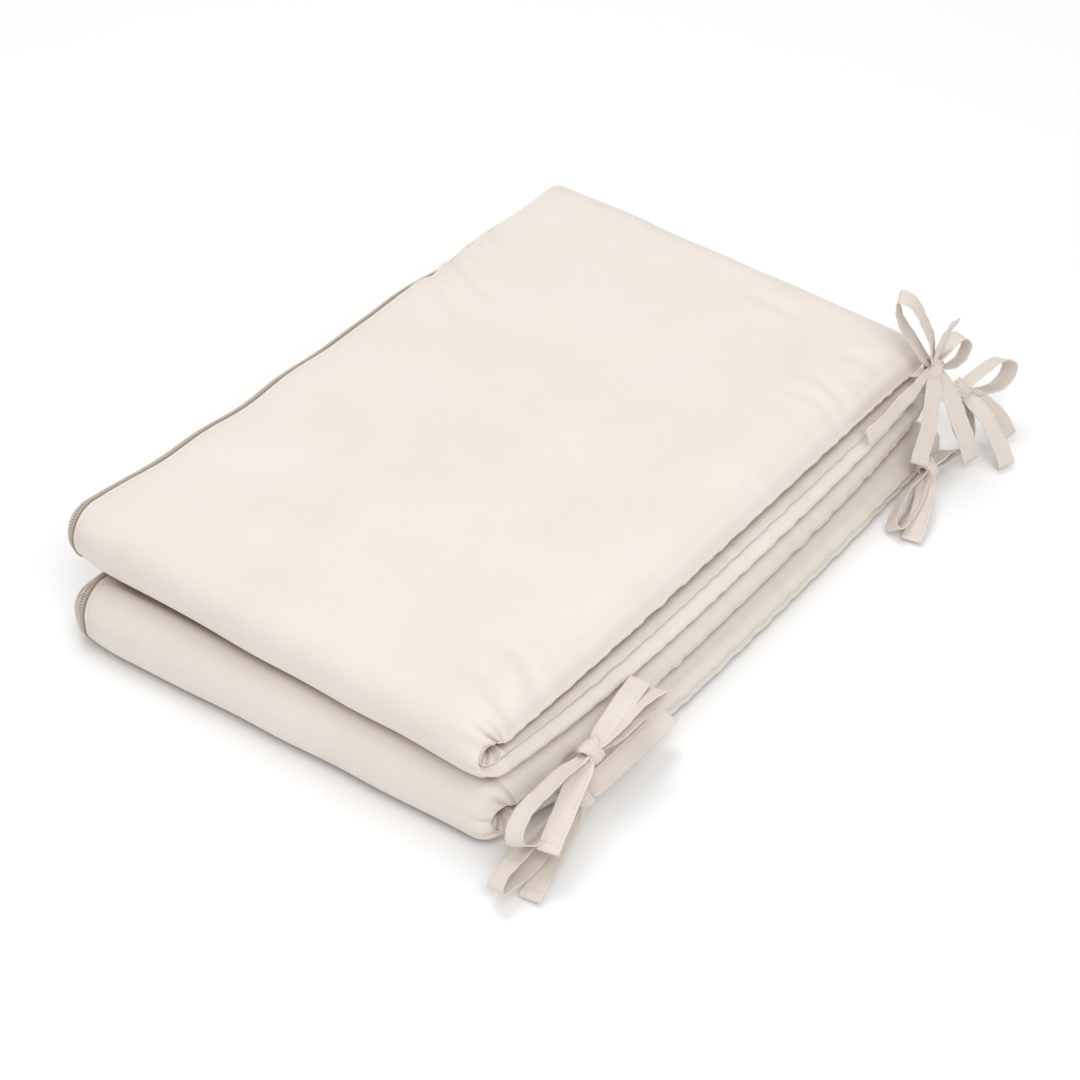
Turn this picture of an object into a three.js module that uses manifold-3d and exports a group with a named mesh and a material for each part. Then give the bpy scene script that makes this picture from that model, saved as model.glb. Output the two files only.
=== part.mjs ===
// A crib bumper folded for storage: one long filled strip laid back and forth in four layers,
// with a zip along one long edge and five tape ties, tied in bows, along the other.
// Millimetres, +Z up. X runs across the strip from the zip to the ties, Y along the layers.

import * as THREE from 'three';
import { mergeVertices } from 'three/addons/utils/BufferGeometryUtils.js';
import Module from 'manifold-3d';

const wasm = await Module();
wasm.setup();

// Driving dimensions of the filled strip
const loft = 20;
const layerGap = 1.2;
const seamThickness = 1.6;
const endRound = 18;
const cornerRound = 14;
const roundPower = 0.7;
const topCrown = 1.5;
const skewWidth = 150;

// Driving dimensions of the zip
const zipWidth = 12;
const tapeThickness = 1;
const coilWidth = 5.5;
const coilTopWidth = 3;
const coilHeight = 1.4;
const zipEndMargin = 100;
const zipTilt = 46;
const zipSeatHeight = 0.82;
const zipBackRound = 14;
const zipLipHeight = 0.97;

// Driving dimensions of the ties
const tieWidth = 12;
const tieThickness = 1.5;
const knotSize = { across: 15, along: 13, high: 11 };

// Clearance between neighbouring pieces
const seat = 0.3;
const coilSeat = 0.6;
const rootSeat = 0.6;

// Turning places of the strip, from the top free end to the lower one: how far each reaches along Y,
// where the zip edge and the tie seam lie across it, how far the seam lies out of the strip's middle towards
// the outer panel, how wide the outer and the inner panel are rounded at it, how far the tie side runs ahead
// of the middle and, on a fold, how far out the seam lies at its crest, how many degrees the crest rolls the
// zip onto the outer panel and how much its lower half is pressed square
const columns = ['zipX', 'tieX', 'seamOut', 'outerRound', 'innerRound', 'skew'];
const topEnd = { reachY: 228, zipX: -149, tieX: 155, seamOut: -6, outerRound: 26, innerRound: 20, skew: -6 };
const upperFold = { reachY: -229, zipX: -158.5, tieX: 150, seamOut: -6.5, outerRound: 14, innerRound: 20, skew: 0 };
const backFold = { reachY: 226, zipX: -143, tieX: 157, seamOut: -4, outerRound: 14, innerRound: 14, skew: 0 };
const lowerFold = { reachY: -236, zipX: -144, tieX: 157, seamOut: -6, outerRound: 14, innerRound: 20, skew: 7 };
const lowerEnd = { reachY: 226, zipX: -137, tieX: 170, seamOut: 2, outerRound: 8, innerRound: 26, skew: 0 };
const turns = [
  topEnd,
  { ...upperFold, crestOut: 5, roll: 10, square: 0 },
  { ...backFold, crestOut: -4, roll: 0, square: 0 },
  { ...lowerFold, crestOut: 5, roll: 22, square: 0.3 },
  lowerEnd,
];

// The middle of each layer, from the top down, with the same columns
const layers = [
  { zipX: -149, tieX: 151.5, seamOut: -7.5, outerRound: 26, innerRound: 20, skew: 0 },
  { zipX: -148, tieX: 156.5, seamOut: -3.5, outerRound: 9, innerRound: 34, skew: 0 },
  { zipX: -145, tieX: 161, seamOut: -5.5, outerRound: 22, innerRound: 20, skew: 0 },
  { zipX: -141, tieX: 171, seamOut: 2, outerRound: 8, innerRound: 26, skew: 0 },
];

// Bows, each with the layer and place whose seam holds it, its knot, and its strips as offsets from the knot.
// A loop leaves along "out" and comes home along "back"; a tail runs by "via" to "end", its width along "wide".
const bows = [
  {
    name: 'tie_front_upper',
    layer: 2,
    seamY: -170,
    knot: [176, -168, 43],
    strips: [
      { out: [-14, -114, 6], back: [18, -60, -46] },
      { out: [2, 78, 16], back: [8, 78, -6] },
      { via: [-3, 30, 8], end: [-7, 56, 8], wide: [1, 0, 0] },
      { via: [8, -30, -4], end: [14, -57, -20], wide: [1, 0.3, 0] },
    ],
  },
  {
    name: 'tie_front_lower',
    layer: 3,
    seamY: -180,
    knot: [177, -178, 17],
    strips: [
      { out: [-4, -112, 10], back: [8, -90, -22] },
      { out: [8, 108, 10], back: [0, 103, -2] },
      { via: [8, -30, -6], end: [14, -64, -14], wide: [1, 0.2, 0] },
    ],
  },
  {
    name: 'tie_top_end',
    layer: 0,
    seamY: 207,
    knot: [165, 206, 73],
    strips: [
      { out: [-50, -28, 74], back: [0, -8, 66] },
      { out: [2, 36, 34], back: [18, 36, -14] },
      { via: [2, 4, 18], end: [7, 10, 34], wide: [0, 1, 0] },
      { via: [4, -30, 0], end: [-2, -72, -12], wide: [0, 0.3, 1] },
      { via: [10, -8, -14], end: [15, -34, -48], wide: [0.5, 1, 0] },
      { via: [14, 4, -14], end: [31, 8, -64], wide: [0.3, 1, 0] },
    ],
  },
  {
    name: 'tie_back_fold',
    layer: 1,
    seamY: 205,
    knot: [172, 234, 41],
    strips: [
      { out: [10, 66, 26], back: [22, 52, -28] },
      { out: [10, -14, -44], back: [16, 8, -46] },
      { via: [24, 2, -8], end: [41, -4, -38], wide: [0.4, 1, 0] },
      { via: [18, 16, -10], end: [28, 23, -38], wide: [0.4, 1, 0] },
    ],
  },
  {
    name: 'tie_lower_end',
    layer: 3,
    seamY: 196,
    knot: [181, 184, 14],
    strips: [
      { out: [0, -78, 2], back: [24, -70, -20] },
      { out: [0, 36, 4], back: [6, 34, -8] },
      { via: [16, -30, -4], end: [21, -54, -11], wide: [1, 0.2, 0] },
    ],
  },
];

// Mesh detail
const straightSteps = 11;
const foldSteps = 8;
const loopSteps = 8;
const tailSteps = 8;
const rootSteps = 3;
const knotSides = 12;
const knotRings = 8;
const tieColumns = [0, 1, 3, 7, 13, 22, 34];
const zipColumns = [34, 22];
const middleColumns = 3;
const backAngles = [22.5, 45, 67.5];
const endColumns = [0, 1.5, 4, 8, 13];
const endReach = 20;
const mergeDistance = 1e-3;
const smallestDetail = 0.05;

// Sizes that follow from the driving dimensions
const pitch = loft + layerGap;
const halfLoft = loft / 2;
const halfSeam = seamThickness / 2;
const foldRadius = pitch / 2;
const foldReach = foldRadius + halfLoft;

const cotton = new THREE.MeshStandardMaterial({ color: 0xeee5da, roughness: 0.9, metalness: 0 });
const tapeCloth = new THREE.MeshStandardMaterial({ color: 0xebe2d8, roughness: 0.9, metalness: 0 });
const zipCloth = new THREE.MeshStandardMaterial({ color: 0xa99a89, roughness: 0.85, metalness: 0 });
const zipNylon = new THREE.MeshStandardMaterial({ color: 0x9b8b79, roughness: 0.5, metalness: 0 });

// Share of the full half thickness at a distance from a seam
function seamRise(distance, reach) {
  const inset = 1 - Math.min(distance, reach) / reach;
  return (1 - inset * inset) ** roundPower;
}

// How strongly a turning place still acts on a layer, from 1 at the turn to 0 at the layer's middle
function turnShare(closeness) {
  return Math.max(0, closeness) ** 3;
}

function layerHeight(index) {
  return halfLoft + (layers.length - 1 - index) * pitch;
}

// Y of the end of a layer's straight run beside a turning place
function straightEnd(turnIndex) {
  const turn = turns[turnIndex];
  const isFreeEnd = turnIndex === 0 || turnIndex === turns.length - 1;
  return isFreeEnd ? turn.reachY : turn.reachY - Math.sign(turn.reachY) * foldReach;
}

// Which way the outer panel of a layer faces: up on the first and third, down on the others
function outerSign(index) {
  return index % 2 === 0 ? 1 : -1;
}

// One row of the strip on a layer's straight run
function layerRow(index, y) {
  const start = straightEnd(index);
  const end = straightEnd(index + 1);
  const share = (y - start) / (end - start);
  const before = turnShare(1 - 2 * share);
  const after = turnShare(2 * share - 1);
  const row = { y, z: layerHeight(index), normalY: 0, normalZ: outerSign(index), fill: 1, crown: 0, zipTilt };
  for (const column of columns) {
    const middle = layers[index][column];
    const fromStart = (turns[index][column] - middle) * before;
    const fromEnd = (turns[index + 1][column] - middle) * after;
    row[column] = middle + fromStart + fromEnd;
  }
  if (index === 0) {
    row.crown = topCrown * (1 - (2 * share - 1) ** 2);
  }
  const isFreeLayer = index === 0 || index === layers.length - 1;
  if (isFreeLayer) {
    const freeY = index === 0 ? start : end;
    const endDistance = Math.abs(freeY - y);
    const inset = 1 - Math.min(endDistance, cornerRound) / cornerRound;
    const cornerInset = cornerRound * (1 - Math.sqrt(1 - inset * inset));
    row.fill = seamRise(endDistance, endRound);
    row.tieX -= cornerInset;
    row.zipX += cornerInset;
  }
  return row;
}

// One row of the strip round a fold, from angle 0 at the layer above to a half turn at the layer below
function foldRow(turnIndex, angle) {
  const turn = turns[turnIndex];
  const side = Math.sign(turn.reachY);
  const outer = side < 0 ? 1 : -1;
  const pressed = angle > Math.PI / 2 ? turn.square * Math.sin(2 * angle) ** 2 : 0;
  const radius = foldRadius * (1 + pressed);
  return {
    ...turn,
    y: straightEnd(turnIndex) + side * radius * Math.sin(angle),
    z: layerHeight(turnIndex) + foldRadius + radius * Math.cos(angle),
    normalY: outer * side * Math.sin(angle),
    normalZ: outer * Math.cos(angle),
    fill: 1,
    crown: 0,
    seamOut: THREE.MathUtils.lerp(turn.seamOut, turn.crestOut, Math.sin(angle) ** 2),
    zipTilt: zipTilt + turn.roll * Math.sin(angle),
  };
}

// Half thickness of a row, where its section is full
function fullHalf(row) {
  return halfSeam + (halfLoft - halfSeam) * row.fill;
}

// The two edges of the slanting seat for the zip, across the strip and out of its middle plane
function zipSeat(row) {
  const tilt = THREE.MathUtils.degToRad(row.zipTilt);
  const top = zipSeatHeight * fullHalf(row);
  return {
    inner: { x: row.zipX + zipWidth * Math.sin(tilt), out: top },
    outer: { x: row.zipX, out: top - zipWidth * Math.cos(tilt) * row.fill },
    lean: { x: -Math.cos(tilt), out: Math.sin(tilt) },
  };
}

// Places a section point of a row in space
function place(row, point) {
  return new THREE.Vector3(
    point.x,
    row.y + row.normalY * point.out + (row.skew * point.x) / skewWidth,
    row.z + row.normalZ * point.out,
  );
}

// Height of the tie seam out of the middle of a row
function seamHeight(row) {
  return row.seamOut * row.fill;
}

// Outline of the strip at a row: from the tie seam over the outer panel to the zip, and back underneath
function stripSection(row) {
  const half = fullHalf(row);
  const seam = seamHeight(row);
  const outerRise = half - halfSeam - seam;
  const innerRise = half - halfSeam + seam;
  const tieSide = tieColumns.map((distance) => ({
    x: row.tieX - distance,
    out: seam + halfSeam + outerRise * seamRise(distance, row.outerRound),
  }));
  const tieUnderside = tieColumns.map((distance) => ({
    x: row.tieX - distance,
    out: seam - halfSeam - innerRise * seamRise(distance, row.innerRound),
  }));
  const zipSide = zipColumns.map((distance, i) => ({
    x: row.zipX + distance,
    out: half * (i === 0 ? 1 : zipLipHeight),
  }));
  const first = tieSide[tieSide.length - 1];
  const last = zipSide[0];
  const middle = Array.from({ length: middleColumns }, (_, i) => {
    const share = (i + 1) / (middleColumns + 1);
    return { x: THREE.MathUtils.lerp(first.x, last.x, share), out: half };
  });
  const { inner, outer } = zipSeat(row);
  const back = backAngles.map((degrees) => {
    const angle = THREE.MathUtils.degToRad(degrees);
    return {
      x: row.zipX + zipBackRound * (1 - Math.cos(angle)),
      out: outer.out - (outer.out + half) * Math.sin(angle),
    };
  });
  const centreX = (row.tieX + row.zipX) / 2;
  const halfWidth = (row.tieX - row.zipX) / 2;
  const outerPanel = [...tieSide, ...middle, ...zipSide].map((point) => {
    const across = (point.x - centreX) / halfWidth;
    return { x: point.x, out: point.out + row.crown * (1 - across * across) };
  });
  const underside = [...middle, ...zipSide].map((point) => ({ x: point.x, out: -half }));
  const innerPanel = [...tieUnderside, ...underside].reverse();
  return [...outerPanel, inner, outer, ...back, ...innerPanel].map((point) => place(row, point));
}

// Rows along the whole strip
function stripRows() {
  const rows = [];
  for (let index = 0; index < layers.length; index += 1) {
    const start = straightEnd(index);
    const end = straightEnd(index + 1);
    const heading = Math.sign(end - start);
    const isFirst = index === 0;
    const isLast = index === layers.length - 1;
    const runStart = isFirst ? start + heading * endReach : start;
    const runEnd = isLast ? end - heading * endReach : end;
    if (isFirst) {
      for (const distance of endColumns) {
        rows.push(layerRow(index, start + heading * distance));
      }
    }
    for (let step = 0; step <= straightSteps; step += 1) {
      rows.push(layerRow(index, THREE.MathUtils.lerp(runStart, runEnd, step / straightSteps)));
    }
    if (isLast) {
      for (const distance of [...endColumns].reverse()) {
        rows.push(layerRow(index, end - heading * distance));
      }
    } else {
      for (let step = 1; step < foldSteps; step += 1) {
        rows.push(foldRow(index + 1, (Math.PI * step) / foldSteps));
      }
    }
  }
  return rows;
}

// Closed skin over rings of equal length, split along the shorter diagonals, with a fan over each end
function loftRings(rings) {
  const count = rings[0].length;
  const positions = [];
  const index = [];
  rings.forEach((ring) => ring.forEach((point) => positions.push(...point.toArray())));
  for (let ring = 0; ring < rings.length - 1; ring += 1) {
    for (let k = 0; k < count; k += 1) {
      const next = (k + 1) % count;
      const a = ring * count + k;
      const b = ring * count + next;
      const rising = rings[ring][k].distanceTo(rings[ring + 1][next]);
      const falling = rings[ring][next].distanceTo(rings[ring + 1][k]);
      if (rising < falling) {
        index.push(a, b, b + count, a, b + count, a + count);
      } else {
        index.push(a, b, a + count, b, b + count, a + count);
      }
    }
  }
  const lastStart = (rings.length - 1) * count;
  const addCap = (start, ring, turned) => {
    const centre = positions.length / 3;
    const middle = new THREE.Vector3();
    ring.forEach((point) => middle.addScaledVector(point, 1 / count));
    positions.push(...middle.toArray());
    for (let k = 0; k < count; k += 1) {
      const a = start + k;
      const b = start + ((k + 1) % count);
      index.push(...(turned ? [a, b, centre] : [b, a, centre]));
    }
  };
  addCap(0, rings[0], false);
  addCap(lastStart, rings[rings.length - 1], true);
  const geometry = new THREE.BufferGeometry();
  geometry.setAttribute('position', new THREE.Float32BufferAttribute(positions, 3));
  geometry.setIndex(index);
  return geometry;
}

// Rows that carry the zip, which stops short of both free ends
function zipRows(rows) {
  const freeYs = [turns[0].reachY, turns[turns.length - 1].reachY];
  const freeZs = [layerHeight(0), layerHeight(layers.length - 1)];
  const startsLate = (row, end) => row.z === freeZs[end] && freeYs[end] - row.y < zipEndMargin;
  return rows.filter((row) => !startsLate(row, 0) && !startsLate(row, 1));
}

// Point of the zip at a share of its width and a height above its seat
function zipPoint(row, share, height) {
  const { inner, outer, lean } = zipSeat(row);
  return place(row, {
    x: THREE.MathUtils.lerp(inner.x, outer.x, share) + lean.x * height,
    out: THREE.MathUtils.lerp(inner.out, outer.out, share) + lean.out * height,
  });
}

function zipTape(rows) {
  const top = seat + tapeThickness;
  return loftRings(
    rows.map((row) => [
      zipPoint(row, 0, top),
      zipPoint(row, 1, top),
      zipPoint(row, 1, seat),
      zipPoint(row, 0, seat),
    ]),
  );
}

function zipCoil(rows) {
  const base = seat + tapeThickness + coilSeat;
  const top = base + coilHeight;
  const foot = coilWidth / zipWidth / 2;
  const crest = coilTopWidth / zipWidth / 2;
  return loftRings(
    rows.map((row) => [
      zipPoint(row, 0.5 - crest, top),
      zipPoint(row, 0.5 + crest, top),
      zipPoint(row, 0.5 + foot, base),
      zipPoint(row, 0.5 - foot, base),
    ]),
  );
}

// Flat tape along part of a curve; its width keeps to one axis, squared to the curve at each step
function tapeAlong(curve, wide, steps, from = 0, to = 1) {
  const rings = [];
  for (let step = 0; step <= steps; step += 1) {
    const share = THREE.MathUtils.lerp(from, to, step / steps);
    const centre = curve.getPoint(share);
    const tangent = curve.getTangent(share);
    const across = wide.clone().addScaledVector(tangent, -wide.dot(tangent)).normalize();
    const face = new THREE.Vector3().crossVectors(tangent, across);
    const corner = (side, top) =>
      centre
        .clone()
        .addScaledVector(across, (side * tieWidth) / 2)
        .addScaledVector(face, (top * tieThickness) / 2);
    rings.push([corner(1, 1), corner(-1, 1), corner(-1, -1), corner(1, -1)]);
  }
  return loftRings(rings);
}

// A loop in two halves that meet at its far end, as the halves cross in the knot
function loopTapes(knot, strip) {
  const out = new THREE.Vector3(...strip.out);
  const back = new THREE.Vector3(...strip.back);
  const curve = new THREE.CubicBezierCurve3(knot, knot.clone().add(out), knot.clone().add(back), knot);
  const wide = new THREE.Vector3().crossVectors(out, back).normalize();
  return [tapeAlong(curve, wide, loopSteps, 0, 0.5), tapeAlong(curve, wide, loopSteps, 0.5, 1)];
}

function tailTape(knot, strip) {
  const via = knot.clone().add(new THREE.Vector3(...strip.via));
  const end = knot.clone().add(new THREE.Vector3(...strip.end));
  const curve = new THREE.QuadraticBezierCurve3(knot, via, end);
  return tapeAlong(curve, new THREE.Vector3(...strip.wide), tailSteps);
}

// Tie seam of a layer at a place along it
function seamPoint(layer, y) {
  const row = layerRow(layer, y);
  return place(row, { x: row.tieX, out: seamHeight(row) });
}

// The short run of tape from the seam to the knot
function rootTape(knot, bow) {
  const seam = seamPoint(bow.layer, bow.seamY);
  const far = seamPoint(bow.layer, bow.seamY + tieWidth / 2);
  const near = seamPoint(bow.layer, bow.seamY - tieWidth / 2);
  const along = far.sub(near).normalize();
  const outward = new THREE.Vector3(1, 0, 0).addScaledVector(along, -along.x).normalize();
  const start = seam.clone().addScaledVector(outward, rootSeat);
  const leave = start.clone().addScaledVector(outward, tieWidth / 2);
  const curve = new THREE.QuadraticBezierCurve3(start, leave, knot);
  return tapeAlong(curve, along, rootSteps);
}

function knotLump(knot) {
  const lump = new THREE.SphereGeometry(0.5, knotSides, knotRings);
  lump.scale(knotSize.across, knotSize.along, knotSize.high);
  lump.translate(knot.x, knot.y, knot.z);
  return lump;
}

function solidOf(geometry) {
  const bare = geometry.clone();
  bare.deleteAttribute('normal');
  bare.deleteAttribute('uv');
  const merged = mergeVertices(bare, mergeDistance);
  return new wasm.Manifold(
    new wasm.Mesh({
      numProp: 3,
      vertProperties: new Float32Array(merged.attributes.position.array),
      triVerts: new Uint32Array(merged.index.array),
    }),
  );
}

function geometryOf(solid) {
  const mesh = solid.getMesh();
  const geometry = new THREE.BufferGeometry();
  geometry.setAttribute('position', new THREE.BufferAttribute(mesh.vertProperties, 3));
  geometry.setIndex(new THREE.BufferAttribute(mesh.triVerts, 1));
  return geometry;
}

// One solid from overlapping pieces, with any pocket left between them filled
function fuse(geometries) {
  const joined = geometries.map(solidOf).reduce((whole, piece) => whole.add(piece));
  const shells = solidOf(geometryOf(joined.simplify(smallestDetail))).decompose();
  return geometryOf(shells.reduce((best, shell) => (shell.volume() > best.volume() ? shell : best)));
}

function bowTie(bow) {
  const knot = new THREE.Vector3(...bow.knot);
  const strips = bow.strips.flatMap((strip) => (strip.out ? loopTapes(knot, strip) : tailTape(knot, strip)));
  return fuse([knotLump(knot), rootTape(knot, bow), ...strips]);
}

const bumper = new THREE.Group();

function addPiece(name, geometry, material) {
  const mesh = new THREE.Mesh(geometry, material);
  mesh.name = name;
  bumper.add(mesh);
}

const rows = stripRows();
addPiece('padded_strip', loftRings(rows.map(stripSection)), cotton);
addPiece('zip_tape', zipTape(zipRows(rows)), zipCloth);
addPiece('zip_coil', zipCoil(zipRows(rows)), zipNylon);
bows.forEach((bow) => addPiece(bow.name, bowTie(bow), tapeCloth));

export default bumper;
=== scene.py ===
import math

import bpy
import numpy as np
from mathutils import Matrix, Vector


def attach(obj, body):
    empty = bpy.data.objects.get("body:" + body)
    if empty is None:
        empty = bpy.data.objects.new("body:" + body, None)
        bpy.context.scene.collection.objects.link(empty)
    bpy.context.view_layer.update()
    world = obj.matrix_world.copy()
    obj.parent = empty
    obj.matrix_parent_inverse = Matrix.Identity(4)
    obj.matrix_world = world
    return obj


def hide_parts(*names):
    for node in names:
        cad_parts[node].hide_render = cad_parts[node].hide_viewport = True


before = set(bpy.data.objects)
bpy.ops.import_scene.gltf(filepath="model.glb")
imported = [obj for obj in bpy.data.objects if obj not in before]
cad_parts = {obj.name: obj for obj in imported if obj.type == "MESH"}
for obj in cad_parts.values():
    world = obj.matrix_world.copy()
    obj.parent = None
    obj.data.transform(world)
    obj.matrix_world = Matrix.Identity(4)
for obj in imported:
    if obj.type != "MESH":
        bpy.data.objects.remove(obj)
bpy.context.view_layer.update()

print("stage: frame loaded")

metre = 0.001  # sizes below are in millimetres
draws = np.random.default_rng(11)

strip = {
    "loft": 20, "layerGap": 1.2, "seam": 1.6, "lip": 0.8, "endRound": 18, "cornerRound": 9,
    "roundPower": 0.7, "topCrown": 1.5, "skewWidth": 150,
    "rowStep": 3.7, "foldSteps": 48, "panelColumns": 42, "hiddenColumns": 24,
    "backRound": 14, "lipHeight": 0.82, "lipReach": 26, "lipPower": 2.2, "foldPull": 5,
    "swellPower": 1.3, "endRun": 19, "stitchInset": 2.6,
}
zipper = {
    "width": 12, "tilt": 52, "endTurn": 13, "seat": 0.12, "tape": 1.05, "endMargin": 104, "columns": 19,
    "ribs": 7, "ribHigh": 0.16, "edgeDrop": 0.55, "edgePower": 8,
    "toothPitch": 1.55, "toothLong": 3.1, "toothFoot": 1.0, "toothTop": 0.55, "toothHigh": 1.1,
    "toothSink": 0.05, "toothCross": 0.35, "toeRise": 0.9, "heelRise": 0.55, "toothMargin": 1,
    "stitchStep": 3.0, "stitchLong": 2.2, "stitchRadius": 0.2, "sink": 3.2, "sinkReach": 70,
}


# meshes from grids of points
def gridPart(points, uv, capped=True, ringed=False, turned=False):  # turned: the rows run the other way
    rows, columns = points.shape[:2]
    index = np.arange(rows * columns).reshape(rows, columns)
    if ringed:
        index = np.vstack([index, index[:1]])
    wide = np.hstack([index, index[:, :1]])
    quads = np.stack([wide[:-1, :-1], wide[:-1, 1:], wide[1:, 1:], wide[1:, :-1]], axis=-1).reshape(-1, 4)
    corners = np.stack([uv[:-1, :-1], uv[:-1, 1:], uv[1:, 1:], uv[1:, :-1]], axis=2).reshape(-1, 2)
    faces = quads.tolist()
    if capped:
        faces += [index[0][::-1].tolist(), index[-1].tolist()]
        corners = np.vstack([corners, uv[0, :columns][::-1], uv[-1, :columns]])
    if turned:
        starts = np.cumsum([0] + [len(face) for face in faces])
        spans = zip(starts[:-1], starts[1:])
        order = np.concatenate([np.arange(first, last)[::-1] for first, last in spans])
        faces, corners = [face[::-1] for face in faces], corners[order]
    return {"points": points.reshape(-1, 3), "faces": faces, "uv": corners}


def makePiece(name, parts, material):
    points, faces, uv, start = [], [], [], 0
    for part in parts:
        points.append(part["points"])
        faces += [[k + start for k in face] for face in part["faces"]]
        uv.append(part["uv"])
        start += len(part["points"])
    mesh = bpy.data.meshes.new(name)
    mesh.from_pydata((np.vstack(points) * metre).tolist(), [], faces)
    mesh.uv_layers.new(name="UVMap").data.foreach_set("uv", (np.vstack(uv) * metre).ravel())
    mesh.polygons.foreach_set("use_smooth", np.ones(len(mesh.polygons), dtype=bool))
    mesh.materials.append(material)
    mesh.update()
    piece = bpy.data.objects.new(name, mesh)
    bpy.context.scene.collection.objects.link(piece)
    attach(piece, "root")
    return piece


def unit(vectors):
    return vectors / np.maximum(np.linalg.norm(vectors, axis=-1, keepdims=True), 1e-9)


def lengthAlong(points):
    return np.concatenate([[0], np.cumsum(np.linalg.norm(np.diff(points, axis=0), axis=1))])


def sample(points, along, wanted):
    return np.stack([np.interp(wanted, along, points[:, k]) for k in range(3)], axis=-1)


def hump(distance, place, width):
    return np.exp(-(((distance - place) / width) ** 2))


def edgeBand(distance, foot, reach):  # nothing at the seam, most just beside it, fading into the panel
    return (1 - np.exp(-distance / foot)) * np.exp(-distance / reach)


def rippleTable(count, shortest, longest):
    return {
        "length": draws.uniform(shortest, longest, count),
        "angle": draws.uniform(0, 2 * math.pi, count),
        "phase": draws.uniform(0, 2 * math.pi, count),
    }


def rippleAlong(table, along):
    waves = [np.sin(2 * math.pi * along / n + p) for n, p in zip(table["length"], table["phase"])]
    return sum(waves) / math.sqrt(len(waves))


def rippleOver(table, along, across):
    total = 0
    for n, a, p in zip(table["length"], table["angle"], table["phase"]):
        total = total + np.sin(2 * math.pi * (along * math.cos(a) + across * math.sin(a)) / n + p)
    return total / math.sqrt(len(table["length"]))


# materials
def startMaterial(name, settings):
    material = bpy.data.materials.new(name)
    material.use_nodes = True
    tree = material.node_tree
    shader = tree.nodes["Principled BSDF"]
    shader.inputs["Roughness"].default_value = settings["roughness"]
    shader.inputs["Specular IOR Level"].default_value = settings["gloss"]
    shader.inputs["Sheen Weight"].default_value = settings["sheen"]
    shader.inputs["Sheen Roughness"].default_value = 0.5
    return material, tree, shader


def addNode(tree, kind, **inputs):
    node = tree.nodes.new(kind)
    for key, value in inputs.items():
        node.inputs[key.replace("_", " ")].default_value = value
    return node


def ramp(tree, source, stops):
    node = tree.nodes.new("ShaderNodeValToRGB")
    while len(node.color_ramp.elements) < len(stops):
        node.color_ramp.elements.new(0.5)
    for element, (place, colour) in zip(node.color_ramp.elements, stops):
        element.position = place
        element.color = (*colour, 1)
    tree.links.new(source, node.inputs["Fac"])
    return node.outputs["Color"]


def mixColours(tree, blend, share, first, second):
    node = tree.nodes.new("ShaderNodeMix")
    node.data_type = "RGBA"
    node.blend_type = blend
    node.inputs["Factor"].default_value = share
    tree.links.new(first, node.inputs["A"])
    tree.links.new(second, node.inputs["B"])
    return node.outputs["Result"]


def weave(tree, settings):
    uv = tree.nodes.new("ShaderNodeUVMap")
    uv.uv_map = "UVMap"
    threads = []
    for direction in ("X", "Y"):
        wave = addNode(tree, "ShaderNodeTexWave", Scale=settings["threads"], Distortion=1.2, Detail=1.0)
        wave.bands_direction = direction
        tree.links.new(uv.outputs["UV"], wave.inputs["Vector"])
        threads.append(wave.outputs["Color"])
    crossing = mixColours(tree, "MULTIPLY", 0.8, threads[0], threads[1])
    stretch = addNode(tree, "ShaderNodeMapping", Scale=(90, 700, 1))
    tree.links.new(uv.outputs["UV"], stretch.inputs["Vector"])
    slub = addNode(tree, "ShaderNodeTexNoise", Scale=1.0, Detail=3.0)
    tree.links.new(stretch.outputs["Vector"], slub.inputs["Vector"])
    return crossing, slub.outputs["Fac"]


def clothMaterial(name, settings):
    material, tree, shader = startMaterial(name, settings)
    crossing, slub = weave(tree, settings)
    where = tree.nodes.new("ShaderNodeTexCoord")
    mottle = addNode(tree, "ShaderNodeTexNoise", Scale=settings["mottle"], Detail=4.0, Roughness=0.6)
    tree.links.new(where.outputs["Object"], mottle.inputs["Vector"])
    base = ramp(tree, mottle.outputs["Fac"], [(0.3, settings["dark"]), (0.7, settings["light"])])
    lines = ramp(tree, slub, [(0.25, (0.978, 0.975, 0.972)), (0.7, (1, 1, 1))])
    grain = ramp(tree, crossing, [(0.0, (0.95, 0.946, 0.942)), (0.6, (1, 1, 1))])
    toned = mixColours(tree, "MULTIPLY", 1.0, base, lines)
    toned = mixColours(tree, "MULTIPLY", 1.0, toned, grain)
    # painted shade: ambient occlusion darkens the base colour to a warm brown in the gaps between the layers,
    # under the seam edges and in creases
    if "paintedShadeReach" in settings:
        paintedShadeOcclusion = addNode(tree, "ShaderNodeAmbientOcclusion", Distance=settings["paintedShadeReach"])
        paintedShadeOcclusion.samples = 6
        paintedShade = ramp(tree, paintedShadeOcclusion.outputs["AO"], settings["paintedShadeTones"])
        toned = mixColours(tree, "MULTIPLY", 1.0, toned, paintedShade)
    tree.links.new(toned, shader.inputs["Base Color"])
    coarse = addNode(tree, "ShaderNodeBump", Strength=settings["slubDepth"], Distance=0.0005)
    tree.links.new(slub, coarse.inputs["Height"])
    fine = addNode(tree, "ShaderNodeBump", Strength=settings["weaveDepth"], Distance=0.0002)
    tree.links.new(crossing, fine.inputs["Height"])
    tree.links.new(coarse.outputs["Normal"], fine.inputs["Normal"])
    tree.links.new(fine.outputs["Normal"], shader.inputs["Normal"])
    return material


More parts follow.
